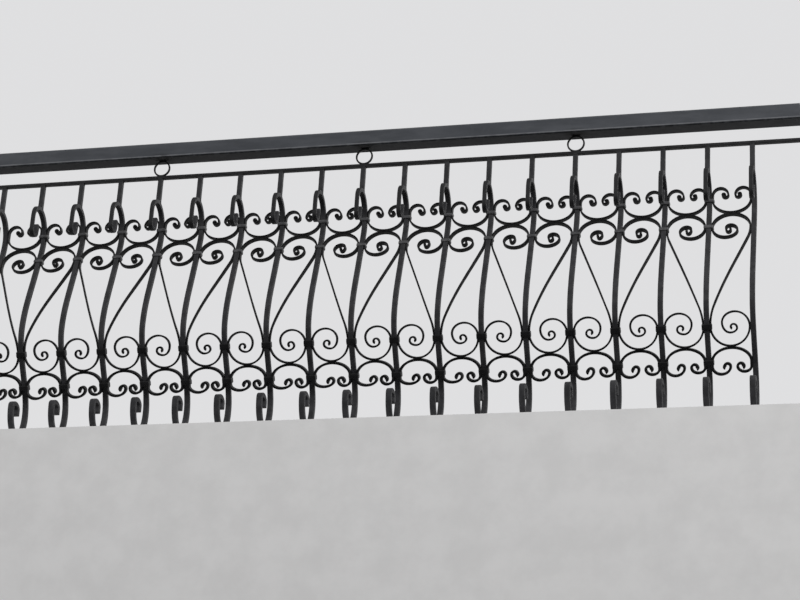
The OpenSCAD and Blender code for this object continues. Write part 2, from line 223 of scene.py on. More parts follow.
def rounded(width, depth, radius, hold=0.35, steps=3):
    """Outline of a bar: at each corner an arc between two holding points on the flats.
    Gives the points and how far each is an edge, from 0 on a flat to 1 on an arc."""
    points, edge = [], []
    for q in range(4):
        mid = np.radians(90 * q + 45)
        cx = np.sign(np.cos(mid)) * (width / 2 - radius)
        cy = np.sign(np.sin(mid)) * (depth / 2 - radius)
        turn = arc(cx, cy, radius, radius, 90 * q, 90 * q + 90, steps - 1)
        a = np.radians(90 * q)
        along = np.array([-np.sin(a), np.cos(a)])
        after = np.array([-along[1], along[0]])
        points += [turn[:1] - hold * along, turn, turn[-1:] + hold * after]
        edge += [0.0, 0.7] + [1.0] * (steps - 2) + [0.7, 0.0]
    return np.concatenate(points), np.array(edge)


def carried(centre, u, v, outline, edge, size=None, end=0.0):
    """An outline carried along a path: centre + size (a u + b v) at each station. With
    end, each end is rounded off by three more stations that shrink over that length."""
    count = len(centre)
    size = np.ones((count, 2)) if size is None else np.broadcast_to(size, (count, 2)).copy()
    if end:
        half = np.abs(outline).max(0)
        t = tangents(centre)
        turn = np.radians([30, 60, 88])
        shrink = 1 - end * (1 - np.cos(turn))[:, None] / half
        out = end * (np.sin(turn) - 1)[:, None]
        first, last = centre[0], centre[-1]
        centre = np.concatenate([
            (first - t[0] * out)[::-1], [first + t[0] * end], centre[1:-1],
            [last - t[-1] * end], last + t[-1] * out])
        u = np.concatenate([np.repeat(u[:1], 3, 0), u, np.repeat(u[-1:], 3, 0)])
        v = np.concatenate([np.repeat(v[:1], 3, 0), v, np.repeat(v[-1:], 3, 0)])
        size = np.concatenate([(size[0] * shrink)[::-1], size, size[-1] * shrink])
    grid = (centre[:, None, :]
            + (outline[:, 0] * size[:, :1])[..., None] * u[:, None, :]
            + (outline[:, 1] * size[:, 1:])[..., None] * v[:, None, :])
    weight = np.broadcast_to(edge, grid.shape[:2]).copy()
    if end:
        weight[:4] = np.maximum(weight[:4], 0.8)
        weight[-4:] = np.maximum(weight[-4:], 0.8)
    flip = np.einsum("ij,ij->", np.cross(u, v), tangents(centre)) < 0
    return skin(grid, weight, flip)


def skin(grid, weight, flip=False, loop=False):
    """Faces over a grid of points that closes round its second way. It closes round
    its first way too with loop, and otherwise has a cap at each end."""
    n, m = grid.shape[:2]
    rows = np.arange(n if loop else n - 1)[:, None]
    cols = np.arange(m)[None, :]
    a = rows * m + cols
    b = rows * m + (cols + 1) % m
    c = ((rows + 1) % n) * m + (cols + 1) % m
    d = ((rows + 1) % n) * m + cols
    quads = np.stack([a, b, c, d], -1).reshape(-1, 4)
    caps = [] if loop else [np.arange(m)[::-1], (n - 1) * m + np.arange(m)]
    if flip:
        quads = quads[:, ::-1]
        caps = [cap[::-1] for cap in caps]
    return grid.reshape(-1, 3), quads, caps, weight.reshape(-1)


def piece(name, shells, material, slot, *nodes):
    """One mesh of the shells given, in metres, that rides on the root body."""
    verts, faces, weights, base = [], [], [], 0
    for points, quads, caps, weight in shells:
        verts.append(points)
        weights.append(weight)
        faces += (quads + base).tolist() + [(cap + base).tolist() for cap in caps]
        base += len(points)
    mesh = bpy.data.meshes.new(name)
    mesh.from_pydata((np.concatenate(verts) * MM).tolist(), [], faces)
    mesh.polygons.foreach_set("use_smooth", np.ones(len(faces), bool))
    edge = mesh.attributes.new("edge", "FLOAT", "POINT")
    edge.data.foreach_set("value", np.concatenate(weights).astype(np.float32))
    mesh.materials.append(material)
    mesh.update()
    thing = bpy.data.objects.new(name, mesh)
    bpy.context.scene.collection.objects.link(thing)
    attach(thing, "root")
    if nodes:
        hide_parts(*nodes)
    return thing


# ---- finishes ----

def socket(node, name, value):
    """Sets a node's own number or colour."""
    node.inputs[name].default_value = value


class Graph:
    """Adds nodes to a material and joins them up."""

    def __init__(self, name):
        self.material = bpy.data.materials.new(name)
        self.material.use_nodes = True
        self.tree = self.material.node_tree
        self.shader = self.tree.nodes["Principled BSDF"]
        self.place = self.node("ShaderNodeTexCoord").outputs["Object"]

    def node(self, kind, **settings):
        """A new node of that kind, with its settings."""
        node = self.tree.nodes.new(kind)
        for key, value in settings.items():
            setattr(node, key, value)
        return node

    def link(self, out, into):
        """Joins an output to an input."""
        self.tree.links.new(out, into)

    def split(self, vector):
        """The three parts of a vector, by the names X, Y and Z."""
        node = self.node("ShaderNodeSeparateXYZ")
        self.link(vector, node.inputs["Vector"])
        return node.outputs

    def stretched(self, scale):
        """The object's coordinates times a scale for each way."""
        node = self.node("ShaderNodeMapping")
        socket(node, "Scale", scale)
        self.link(self.place, node.inputs["Vector"])
        return node.outputs["Vector"]

    def noise(self, scale, detail=4.0, roughness=0.55, source=None):
        """Cloudy noise of that many waves to the metre."""
        node = self.node("ShaderNodeTexNoise")
        socket(node, "Scale", scale)
        socket(node, "Detail", detail)
        socket(node, "Roughness", roughness)
        self.link(source or self.place, node.inputs["Vector"])
        return node.outputs["Fac"]

    def cells(self, scale, smooth=0.8):
        """Distance to the nearest of scattered points, smoothed: shallow dents."""
        node = self.node("ShaderNodeTexVoronoi", feature="SMOOTH_F1")
        socket(node, "Scale", scale)
        socket(node, "Smoothness", smooth)
        self.link(self.place, node.inputs["Vector"])
        return node.outputs["Distance"]

    def ranged(self, value, low, high, to_low=0.0, to_high=1.0):
        """The value moved from one range to another, held at the ends."""
        node = self.node("ShaderNodeMapRange", interpolation_type="SMOOTHSTEP")
        for name, number in (("From Min", low), ("From Max", high),
                             ("To Min", to_low), ("To Max", to_high)):
            socket(node, name, number)
        self.link(value, node.inputs["Value"])
        return node.outputs["Result"]

    def math(self, operation, a, b=0):
        """A sum on one or two values, each a number or an output."""
        node = self.node("ShaderNodeMath", operation=operation)
        for k, value in enumerate((a, b)):
            if isinstance(value, (int, float)):
                node.inputs[k].default_value = value
            else:
                self.link(value, node.inputs[k])
        return node.outputs["Value"]

    def mixed(self, share, a, b):
        """Colour a where the share is 0 and colour b where it is 1."""
        node = self.node("ShaderNodeMix", data_type="RGBA")
        self.link(share, node.inputs["Factor"])
        for name, value in (("A", a), ("B", b)):
            into = [s for s in node.inputs if s.name == name and s.type == "RGBA"][0]
            if isinstance(value, tuple):
                into.default_value = (*value, 1.0)
            else:
                self.link(value, into)
        return [s for s in node.outputs if s.type == "RGBA"][0]

    def bump(self, height, strength, distance, before=None):
        """The normal bent by a height, on top of the bump before it."""
        node = self.node("ShaderNodeBump")
        socket(node, "Strength", strength)
        socket(node, "Distance", distance)
        self.link(height, node.inputs["Height"])
        if before:
            self.link(before, node.inputs["Normal"])
        return node.outputs["Normal"]

    def edge(self):
        """How far the surface is an edge, as its mesh says."""
        node = self.node("ShaderNodeAttribute", attribute_name="edge")
        return node.outputs["Fac"]

    def facing_up(self):
        """Height of the surface's normal, 1 where it faces up."""
        return self.split(self.node("ShaderNodeNewGeometry").outputs["Normal"])["Z"]


# Waves of the brush marks to the metre along X, Y and Z
BRUSHED_UP, BRUSHED_ALONG = (500, 500, 40), (40, 500, 500)
# Heights and depths in metres between which painted shade on the crowns' fronts sets in, and its
# colour
CROOK_HEIGHTS, CROOK_DEPTHS = (0.640, 0.665), (-0.066, -0.054)
CROOK_SHADE = (0.004, 0.004, 0.0045)


def iron_paint(name, dark, light, wear_and_highlight, dust, matt, dent, shine, brush=BRUSHED_UP,
               crook=False):
    """Satin paint on forged iron: patches of two tones, brush marks along the bar,
    orange peel, hammer dents under the paint, rubbed edges and dust on top. With crook,
    painted shade darkens the front of the crowns, above the neck."""
    g = Graph(name)
    patches = g.ranged(g.noise(38, 5, 0.6), 0.35, 0.68)
    colour = g.mixed(patches, dark, light)
    streaks = g.noise(1.0, 3, 0.5, g.stretched(brush))
    fine = g.noise(420, 2, 0.5)
    rubbed = g.math("MULTIPLY", g.edge(), g.ranged(g.noise(120, 4, 0.65), 0.47, 0.66))
    # Rubbed edges take the worn colour: wear, which in the band paint is pale enough to be a
    # painted highlight.
    colour = g.mixed(g.math("MULTIPLY", rubbed, 0.55), colour, wear_and_highlight)
    lying = g.math("MULTIPLY", g.ranged(g.facing_up(), 0.35, 0.95),
                   g.ranged(g.noise(75, 5, 0.6), 0.3, 0.7, 0.25, 0.8))
    colour = g.mixed(lying, colour, dust)
    # Painted shade: darker paint on the crowns' fronts, above the neck.
    if crook:
        place = g.split(g.place)
        high = g.ranged(place["Z"], *CROOK_HEIGHTS)
        front = g.ranged(place["Y"], *CROOK_DEPTHS, 1.0, 0.0)
        colour = g.mixed(g.math("MULTIPLY", g.math("MULTIPLY", high, front), 0.6), colour,
                         CROOK_SHADE)
    g.link(colour, g.shader.inputs["Base Color"])
    rough = g.math("ADD", g.ranged(streaks, 0.3, 0.7, matt, matt + 0.12),
                   g.math("MULTIPLY", lying, 0.3))
    rough = g.math("ADD", rough, g.math("MULTIPLY", rubbed, -0.06))
    g.link(rough, g.shader.inputs["Roughness"])
    normal = g.bump(g.cells(105), dent, 0.0012)
    normal = g.bump(streaks, 0.16, 0.0003, normal)
    normal = g.bump(fine, 0.07, 0.0002, normal)
    g.link(normal, g.shader.inputs["Normal"])
    socket(g.shader, "Specular IOR Level", shine)
    return g.material


# Colours of the handrail, from its two tones to the dust that lies on it. The dark colours
# beside the rings and under it are painted shade, and the pale corner colour a painted highlight.
BLUE_GREY, PALE_BLUE_GREY = (0.049, 0.053, 0.061), (0.073, 0.078, 0.088)
BLOT, RING_SHADE, UNDERSIDE_SHADE = (0.078, 0.083, 0.090), (0.012, 0.012, 0.013), (0.010, 0.010, 0.011)
RUBBED, CORNER_HIGHLIGHT, RAIL_DUST = (0.10, 0.105, 0.115), (0.190, 0.196, 0.210), (0.16, 0.155, 0.15)


def box_rail_paint(name):
    """Blue grey paint on the handrail: cloudy patches drawn out along it, painted shade
    under it and low beside each ring, a painted highlight along its lower corners, and
    dust on top."""
    g = Graph(name)
    cloud = g.ranged(g.noise(1.0, 5, 0.6, g.stretched((7, 30, 30))), 0.3, 0.72)
    colour = g.mixed(cloud, BLUE_GREY, PALE_BLUE_GREY)
    blots = g.ranged(g.noise(26, 5, 0.65), 0.52, 0.74)
    colour = g.mixed(g.math("MULTIPLY", blots, 0.4), colour, BLOT)
    place = g.split(g.place)
    # Painted shade low on the handrail beside each ring, where the ring meets it.
    ring_gap = (RING_BARS[1] - RING_BARS[0]) * PITCH * MM
    near = g.math("PINGPONG", place["X"], ring_gap / 2)
    inside = g.math("LESS_THAN", g.math("ABSOLUTE", place["X"]), 1.2 * ring_gap)
    beside = g.math("MULTIPLY", g.ranged(near, 0.006, 0.045, 1.0, 0.0), inside)
    low = g.ranged(place["Z"], (HANDRAIL_Z + 2) * MM, (HANDRAIL_Z + 16) * MM, 1.0, 0.0)
    ring_shade = g.math("MULTIPLY", g.math("MULTIPLY", beside, low),
                  g.ranged(g.noise(90, 5, 0.6), 0.3, 0.6, 0.35, 0.9))
    colour = g.mixed(ring_shade, colour, RING_SHADE)
    # Painted shade: the paint darkens where the handrail faces down.
    under = g.ranged(g.facing_up(), -0.75, -0.45, 0.75, 0.0)
    colour = g.mixed(under, colour, UNDERSIDE_SHADE)
    rubbed = g.math("MULTIPLY", g.edge(), g.ranged(g.noise(60, 4, 0.6), 0.42, 0.66))
    colour = g.mixed(g.math("MULTIPLY", rubbed, 0.6), colour, RUBBED)
    # Painted highlight along the handrail's lower rounded corners.
    corner = g.math("MULTIPLY", g.ranged(g.facing_up(), -0.10, -0.03, 1.0, 0.0),
                    g.ranged(g.facing_up(), -0.62, -0.42))
    corner = g.math("MULTIPLY", corner, g.ranged(g.noise(30, 4, 0.6), 0.3, 0.6, 0.45, 0.95))
    colour = g.mixed(corner, colour, CORNER_HIGHLIGHT)
    lying = g.math("MULTIPLY", g.ranged(g.facing_up(), 0.4, 0.95),
                   g.ranged(g.noise(40, 5, 0.6), 0.3, 0.7, 0.2, 0.75))
    colour = g.mixed(lying, colour, RAIL_DUST)
    g.link(colour, g.shader.inputs["Base Color"])
    streaks = g.noise(1.0, 3, 0.5, g.stretched((45, 520, 520)))
    rough = g.math("ADD", g.ranged(streaks, 0.3, 0.7, 0.42, 0.52),
                   g.math("MULTIPLY", lying, 0.3))
    rough = g.math("ADD", rough, g.math("MULTIPLY", under, 0.3))
    g.link(rough, g.shader.inputs["Roughness"])
    socket(g.shader, "Specular IOR Level", 0.25)
    normal = g.bump(g.noise(14, 3, 0.5), 0.12, 0.004)
    normal = g.bump(streaks, 0.14, 0.0003, normal)
    normal = g.bump(g.noise(560, 2, 0.5), 0.1, 0.0002, normal)
    g.link(normal, g.shader.inputs["Normal"])
    return g.material


# All the iron is one satin black paint. The bars' and stems' paint is lighter than the scrolls'
# and collars' as painted sheen on their lit faces.
BAR_PAINT = iron_paint(
    "bar_paint", dark=(0.0170, 0.0170, 0.0190), light=(0.0340, 0.0340, 0.0370),
    wear_and_highlight=(0.060, 0.058, 0.056), dust=(0.062, 0.061, 0.059), matt=0.54, dent=0.22,
    shine=0.26, crook=True)
SCROLL_PAINT = iron_paint(
    "scroll_paint", dark=(0.0035, 0.0035, 0.0040), light=(0.0075, 0.0075, 0.0082),
    wear_and_highlight=(0.016, 0.0155, 0.015), dust=(0.022, 0.0215, 0.021), matt=0.52, dent=0.20,
    shine=0.16, brush=(300, 300, 300))
COLLAR_PAINT = iron_paint(
    "collar_paint", dark=(0.0045, 0.0045, 0.0050), light=(0.0095, 0.0095, 0.0105),
    wear_and_highlight=(0.026, 0.025, 0.024), dust=(0.035, 0.034, 0.033), matt=0.50, dent=0.40,
    shine=0.20, brush=(260, 260, 260))
# The crown and neck collars' paint is lighter than the other collars' as a painted highlight, and
# its pale worn colour draws painted highlight lines on their rims.
HIGHLIGHT_BAND_PAINT = iron_paint(
    "band_paint_highlight", dark=(0.050, 0.050, 0.053), light=(0.085, 0.085, 0.089),
    wear_and_highlight=(0.210, 0.206, 0.200), dust=(0.06, 0.059, 0.057), matt=0.46, dent=0.35,
    shine=0.30, brush=(260, 260, 260))
RAIL_PAINT = iron_paint(
    "rail_paint", dark=(0.0070, 0.0070, 0.0078), light=(0.014, 0.014, 0.0155),
    wear_and_highlight=(0.028, 0.027, 0.026), dust=(0.045, 0.044, 0.042), matt=0.50, dent=0.16,
    shine=0.22, brush=BRUSHED_ALONG)
HANDRAIL_PAINT = box_rail_paint("handrail_paint")


# ---- rails ----

def rail(length, width, thick, y, z, radius, seed):
    """A flat bar along X: a rounded outline carried along it, a little uneven."""
    x = np.concatenate([[-length / 2], np.linspace(4 - length / 2, length / 2 - 4, 90),
                        [length / 2]])
    centre = np.stack([x, np.full_like(x, y), np.full_like(x, z + thick / 2)], 1)
    size = 1 + ripple(x[:, None] * [1, 1], seed, 0.008, 300) - 0.008
    outline, edge = rounded(width, thick, radius)
    u = np.tile([0.0, 1, 0], (len(x), 1))
    v = np.tile([0.0, 0, 1], (len(x), 1))
    return carried(centre, u, v, outline, edge, size, end=0.6)


def handrail_shell():
    """A box tube along X: the outer outline out, the inner outline back, joined round
    at both ends, with a slow dent and swell of a few tenths of a millimetre."""
    outer, edge = rounded(HANDRAIL_W, HANDRAIL_H, HANDRAIL_R, 1.5, 6)
    inner, _ = rounded(HANDRAIL_W - 2 * HANDRAIL_WALL, HANDRAIL_H - 2 * HANDRAIL_WALL,
                       HANDRAIL_R - HANDRAIL_WALL, 1.5, 6)
    half = RAIL_LEN / 2
    x_out = np.concatenate([[-half, 0.5 - half, 3 - half],
                            np.linspace(40 - half, half - 40, 100), [half - 3, half - 0.5, half]])
    size = 1 - 0.003 + ripple(x_out, 7, 0.003, 500)
    size[:2] = size[-2:] = 1
    x = np.concatenate([x_out, x_out[::-1]])
    around = np.concatenate([outer[None] * size[:, None, None],
                             np.repeat(inner[None], len(x_out), 0)])
    grid = np.stack([np.broadcast_to(x[:, None], around.shape[:2]),
                     RAIL_Y + around[..., 0],
                     HANDRAIL_Z + HANDRAIL_H / 2 + around[..., 1]], -1)
    weight = np.broadcast_to(edge, around.shape[:2]).copy()
    weight[:2] = weight[len(x_out) - 2:len(x_out)] = 1
    weight[len(x_out):] = 0
    return skin(grid, weight, loop=True)


piece("box_handrail", [handrail_shell()], HANDRAIL_PAINT, "handrail_paint", "handrail")
piece("flat_top_rail", [rail(RAIL_LEN, TOP_RAIL_W, TOP_RAIL_T, RAIL_Y, TOP_RAIL_Z, 1.2, 11)],
      RAIL_PAINT, "rail_paint", "top_rail")
piece("flat_bottom_rail", [rail(RAIL_LEN, BOTTOM_RAIL_W, BOTTOM_RAIL_T, 0, 0, 1.5, 12)],
      RAIL_PAINT, "rail_paint", "bottom_rail")


# ---- rings ----

def hoop(x, seed):
    """A ring of flat bar: a rounded outline carried round a circle in the X-Z plane,
    which is a little uneven at its sides and true at its top and foot."""
    t = np.linspace(0, 2 * np.pi, 64, endpoint=False)
    r = (RING_D - RING_T) / 2 - SEAT
    out = np.stack([np.cos(t), np.zeros_like(t), np.sin(t)], 1)
    wobble = ripple(t * 20, seed, 0.25, 60)[:, None] * np.abs(out[:, :1])
    centre = [x, RAIL_Y, RING_Z + RING_D / 2] + (r - wobble) * out
    outline, edge = rounded(RING_T, RING_W, 1.1)
    deep = np.array([0.0, 1, 0])
    grid = (centre[:, None, :] + outline[:, 0, None] * out[:, None, :]
            + outline[:, 1, None] * deep)
    return skin(grid, np.broadcast_to(edge, grid.shape[:2]).copy(), loop=True)


for label, number in zip(("left", "middle", "right"), RING_BARS):
    piece("hoop_" + label, [hoop(bar_x(number), 20 + number)], RAIL_PAINT, "rail_paint",
          "ring_" + label)


# ---- bars ----

def bar_line():
    """Middle line of a bar as depth and height, from hook to hook."""
    down = np.linspace(NECK_Z, BELLY_Z, 46)[1:]
    under = np.linspace(BELLY_Z, FOOT_Z, 36)[1:]
    hook_y = CROWN_Y - CROWN_FRONT + CROWN_HOOK_R
    foot_hook_y = FOOT_HOOK_HALF - FOOT_FRONT
    foot_mid = (FOOT_Y - FOOT_FRONT) / 2
    end_z = NECK_Z + CROWN_HOOK_END
    return joined([
        [[hook_y + CROWN_HOOK_R, end_z], [hook_y + CROWN_HOOK_R, end_z - 4],
         [hook_y + CROWN_HOOK_R, end_z - 14]],
        arc(hook_y, NECK_Z - CROWN_HOOK_DROP, CROWN_HOOK_R, CROWN_HOOK_R, 0, -180, 18),
        np.stack([np.full(8, CROWN_Y - CROWN_FRONT),
                  NECK_Z + np.arange(1, 9) * CROWN_SIDE_STEP], 1),
        arc(CROWN_Y, NECK_Z + CROWN_SIDE, CROWN_FRONT, CROWN_RISE - CROWN_SIDE, 180, 90, 18),
        arc(CROWN_Y, NECK_Z, CROWN_REACH, CROWN_RISE, 90, 0, 22),
        np.stack([line_y(down), down], 1),
        np.stack([line_y(under), under], 1),
        arc(foot_mid, FOOT_Z, FOOT_Y - foot_mid, FOOT_FALL, 0, -180, 36),
        arc(foot_hook_y, FOOT_Z, FOOT_HOOK_HALF, FOOT_HOOK_RISE, 180, 0, 22),
        [[foot_hook_y + FOOT_HOOK_HALF, FOOT_Z - FOOT_HOOK_END + 6],
         [foot_hook_y + FOOT_HOOK_HALF, FOOT_Z - FOOT_HOOK_END]],
    ])


BAR_LINE = bar_line()


def forged_bar(i):
    """A square bar with soft edges carried along the middle line, with hammer work
    that swells and thins it by a little, a crown crook drawn out thinner down its
    front, and a foot crook beaten out wider."""
    n = len(BAR_LINE)
    centre = np.stack([np.full(n, bar_x(i)), BAR_LINE[:, 0], BAR_LINE[:, 1] + SEAT], 1)
    u = np.tile([1.0, 0, 0], (n, 1))
    v = np.cross(tangents(centre), u)
    run = run_along(centre)
    size = np.stack([1 + ripple(run, BAR_SEED + i, 0.014, 70),
                     1 + ripple(run, BAR_DEPTH_SEED + i, 0.014, 80)], 1) - HAMMER_ROOM
    size[:, 0] *= np.interp(run, CROWN_RUNS, CROWN_WIDTHS)
    size[:, 1] *= np.interp(run, CROWN_RUNS, CROWN_DEPTHS)
    size[:, 0] *= np.interp(run, np.add(run[-1], FOOT_RUNS), FOOT_WIDTHS)
    size[:, 1] *= np.interp(run, np.add(run[-1], FOOT_DEPTH_RUNS), FOOT_DEPTHS)
    outline, edge = rounded(PAINTED_BAR, BAR_W, 1.8)
    return carried(centre, u, v, outline, edge, size, end=1.2)


for number in range(1, BARS + 1):
    piece("forged_bar_%02d" % number, [forged_bar(number)], BAR_PAINT, "bar_paint",
          "baluster_%02d" % number)


def crown_top(y):
    """Height of the outer edge of the crown at a depth behind its top."""
    t = np.linspace(0, np.pi / 2, 200)
    flat = np.stack([CROWN_Y + CROWN_REACH * np.cos(t), NECK_Z + CROWN_RISE * np.sin(t)], 1)
    normal = unit(np.stack([np.cos(t) / CROWN_REACH, np.sin(t) / CROWN_RISE], 1))
    edge = flat + normal * BAR_W / 2
    return np.interp(y, edge[::-1, 0], edge[::-1, 1])


def stem(i):
    """A square stem from the crown to the top rail. Its foot follows the crown."""
    outline, edge = rounded(PAINTED_STEM, STEM_W, 1.5)
    foot = crown_top(RAIL_Y + outline[:, 1]) - 0.3
    share = np.concatenate([[0.0, 0.02], np.linspace(0.06, 0.97, 14), [1.0]])[:, None]
    z = foot + (TOP_RAIL_Z + 0.5 - foot) * share
    size = 1 + ripple(share * 80, STEM_SEED + i, 0.02, 60)
    grid = np.stack([bar_x(i) + outline[:, 0] * size, RAIL_Y + outline[:, 1] * size, z], -1)
    return skin(grid, np.broadcast_to(edge, grid.shape[:2]).copy())


piece("square_stems", [stem(i) for i in range(1, BARS + 1)], BAR_PAINT, "bar_paint", "stems")


# ---- scrolls ----

def volute(shares):
    """Quarter ellipses through the outermost points of the turns: each is centred on
    the side's level and the top's place, and drawn with about 3 mm between points."""
    points = np.array(shares, float) * OUTER
    parts = []
    for k, (a, b) in enumerate(zip(points[:-1], points[1:])):
        count = max(5, int(np.linalg.norm(b - a) / 3.2))
        if k % 2 == 0:
            parts.append(arc(b[0], a[1], a[0] - b[0], b[1] - a[1], 0, 90, count))
        else:
            parts.append(arc(a[0], b[1], b[0] - a[0], a[1] - b[1], 90, 0, count))
    return joined(parts)


def s_line():
    """Middle line of an S-scroll laid out flat: an upper volute, a straight strand
    between two bends, and a lower volute."""
    rise = LOWER_RUN - UPPER_RUN
    bend_rise = rise - NECK_COLLAR_H / 2
    total = UPPER_BEND_R + LOWER_BEND_R
    across = 2 * OUTER - total
    angle = np.degrees(np.arctan2(across, bend_rise)
                       + np.arcsin(total / np.hypot(across, bend_rise)))
    upper = arc(UPPER_BEND_R - OUTER, bend_rise, UPPER_BEND_R, UPPER_BEND_R, 180, 180 + angle, 10)
    lower = arc(OUTER - LOWER_BEND_R, 0, LOWER_BEND_R, LOWER_BEND_R, angle, 0, 14)
    straight = upper[-1] + (lower[0] - upper[-1]) * np.linspace(0, 1, 26)[1:-1, None]
    return joined([volute(UPPER_SHARES)[::-1] + [0, rise], upper, straight, lower,
                   volute(LOWER_SHARES)])


S_LINE = s_line()


def strand_size(run, seed):
    """Unevenness of a flat bar, with a thicker tip at each end that falls off with
    the run as exp(-run / 5)."""
    size = np.stack([1 + ripple(run, seed, 0.04, 55), 1 + ripple(run, seed + 1, 0.02, 75)], 1)
    tip = np.exp(-run / 5) + np.exp(-(run[-1] - run) / 5)
    size[:, 0] += 0.45 * tip
    size[:, 1] -= 0.06 * tip
    return size


def s_scroll(bay):
    """A flat bar carried along the S line, each point set down the bellied face by
    its run, standing square to the face. The bar is drawn out narrower towards the
    lower volute. Every second bay is turned about."""
    side = -1.0 if bay % 2 == 0 else 1.0
    z = height_at(LOWER_RUN - S_LINE[:, 1])
    a = lean(z)
    zero = np.zeros_like(z)
    down = np.stack([zero, -np.sin(a), -np.cos(a)], 1)
    deep = np.stack([zero, np.cos(a), -np.sin(a)], 1)
    t = tangents(S_LINE)
    u = np.stack([-t[:, 1] * side, zero, zero], 1) - t[:, :1] * down
    centre = np.stack([bar_x(bay) + PITCH / 2 + side * S_LINE[:, 0], line_y(z), z], 1)
    outline, edge = rounded(PAINTED_T, STRAND_D, 1.1, 0.25)
    size = strand_size(run_along(S_LINE), S_SEED + 2 * bay)
    size[:, 1] *= np.interp(S_LINE[:, 1], NARROW_LEVELS, NARROW_DEPTHS)
    return carried(centre, u, deep, outline, edge, size, end=0.9)


def curl_line(side, r, wide, flat, eye_turn):
    """Three half circles about the level at the end of the straight side, each from
    the end of the one before. The first is half an ellipse, drawn out wide and
    flattened, and of the last one only the first degrees, eye_turn, are kept."""
    level = side + flat
    parts = [[[OUTER, 0.0], [OUTER, side * 0.5]]]
    x, way, turn = OUTER, -1, 1
    for half, tall, sweep in ((r + wide, r - flat, 180), (CURL_INNER, CURL_INNER, 180),
                              (CURL_EYE, CURL_EYE, eye_turn)):
        parts.append(arc(x + way * half, level, -way * half, turn * tall, 0, sweep,
                         max(7, int(half * 1.1))))
        x += 2 * way * half
        way, turn = -way, -turn
    return joined(parts)


def c_line(bow, side, left, right, flat, eye_turn):
    """Middle line of a C-scroll: a curl, a bow of half an ellipse, and a curl. Left and
    right give the radius of a curl and how much wider than that it is drawn out."""
    return joined([(curl_line(side, *left, flat, eye_turn) * [-1, 1])[::-1],
                   arc(0, 0, OUTER, bow, 180, 360, 44),
                   curl_line(side, *right, flat, eye_turn)])


def lower_line(bay):
    """The C line of a scroll that opens downwards, its left before its right as it is
    turned over. In the left bays the left curl is wider and the right one narrower, and
    in the middle bays the left curl hangs less deep."""
    share = float(np.interp(bay, (10, 15), (1, 0)))
    less = float(np.interp(bay, (5, 8, 12, 15), (0, LOWER_LEFT_RAISED, LOWER_LEFT_RAISED, 0)))
    left = (LOWER_LEFT_CURL - less, LOWER_WIDE + LOWER_LEFT_MORE * share + less)
    right = (LOWER_RIGHT_CURL, LOWER_WIDE - LOWER_RIGHT_LESS * share)
    return c_line(LOWER_BOW, LOWER_SIDE, right, left, LOWER_FLAT, LOWER_EYE_TURN)


def c_scroll(bay, line, y, z, tilt, turned, thick, seed):
    """A flat bar carried along the C line in a plane tilted by tilt, turned over where
    the scroll stands on its bow's top. The bar stands square to the bars' face there."""
    flat = line * (-1.0 if turned else 1.0)
    centre = np.stack([flat[:, 0], flat[:, 1] * np.sin(tilt), flat[:, 1] * np.cos(tilt)], 1)
    centre += [bar_x(bay) + PITCH / 2, y, z]
    a = float(lean(z)) if turned else 0.0
    v = np.tile([0.0, np.cos(a), -np.sin(a)], (len(flat), 1))
    u = unit(np.cross(tangents(centre), v))
    run = run_along(flat)
    outline, edge = rounded(thick, STRAND_D, 1.1, 0.25)
    size = strand_size(run, seed)
    if turned:
        size[:, 0] *= np.interp(np.minimum(run, run[-1] - run), (4, 20), (LOWER_TIP, 1))
    return carried(centre, u, v, outline, edge, size, end=0.9)


def upper_scroll(bay):
    """A C-scroll that opens upwards, upright over the S-scrolls' tops."""
    return c_scroll(bay, UPPER_LINE, UPPER_Y, BOW_Z, 0.0, False, PAINTED_T,
                    UPPER_SEED + 2 * bay)


def lower_scroll(bay):
    """A C-scroll that opens downwards, leaning under the S-scrolls' feet."""
    return c_scroll(bay, lower_line(bay), ARCH[0], ARCH_Z, -LOWER_LEAN, True,
                    PAINTED_LOWER_T, LOWER_SEED + 2 * bay)


UPPER_LINE = c_line(UPPER_BOW, UPPER_SIDE, (UPPER_CURL, 0.0), (UPPER_CURL, 0.0), 0.0,
                    UPPER_EYE_TURN)
UPPER_Y = float(line_y(BOW_Z))

for label, bays in (("left", range(1, 10)), ("right", range(10, BARS))):
    for name, scroll, node in (("s_scrollwork_", s_scroll, "s_scrolls_"),
                               ("upper_scrollwork_", upper_scroll, "upper_c_scrolls_"),
                               ("lower_scrollwork_", lower_scroll, "lower_c_scrolls_")):
        piece(name + label, [scroll(bay) for bay in bays], SCROLL_PAINT, "scroll_paint",
              node + label)


# ---- collars and welds ----

